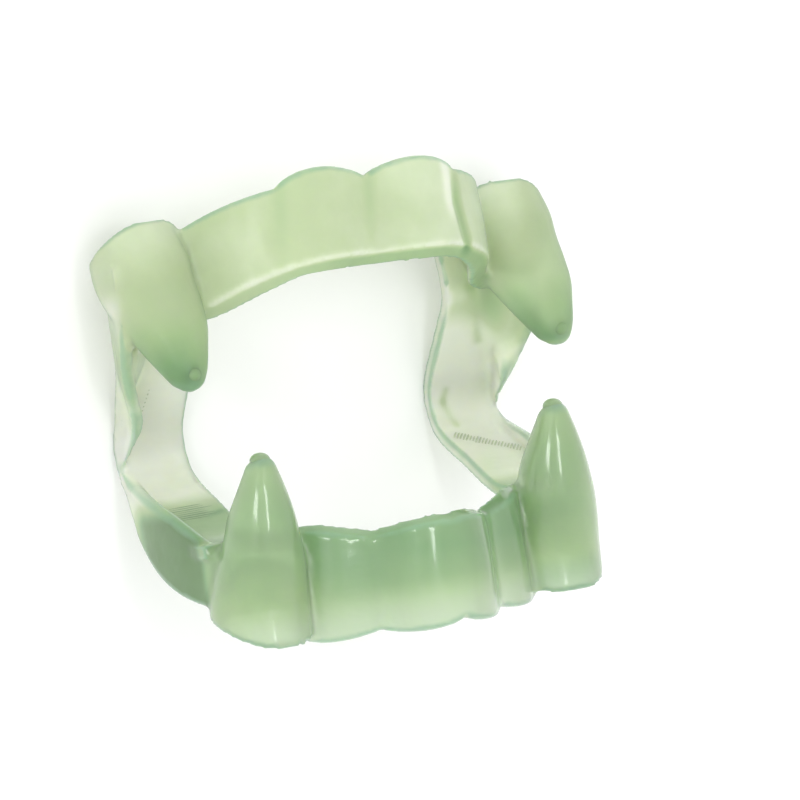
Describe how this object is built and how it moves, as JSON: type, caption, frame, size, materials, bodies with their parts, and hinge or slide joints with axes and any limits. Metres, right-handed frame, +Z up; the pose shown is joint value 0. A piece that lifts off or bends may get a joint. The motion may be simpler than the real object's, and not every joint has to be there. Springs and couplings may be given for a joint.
{
  "type": "vampire fang denture",
  "caption": "Glow-in-the-dark vampire denture: one pale green moulding of upper and lower teeth with long fangs, joined by springy side bands.",
  "frame": {"origin": "centre of the bounding box's underside, on the surface the denture lies on", "axes": "+Z up, +X to the wearer's left, +Y from the lower jaw towards the upper jaw; the denture lies on its back with its teeth up"},
  "size_m": [0.0564, 0.0498, 0.0337],
  "materials": {
    "glow_plastic": "milky translucent pale green, glossy as moulded"
  },
  "bodies": {
    "root": {"fang_denture": "glow_plastic"}
  },
  "joints": []
}
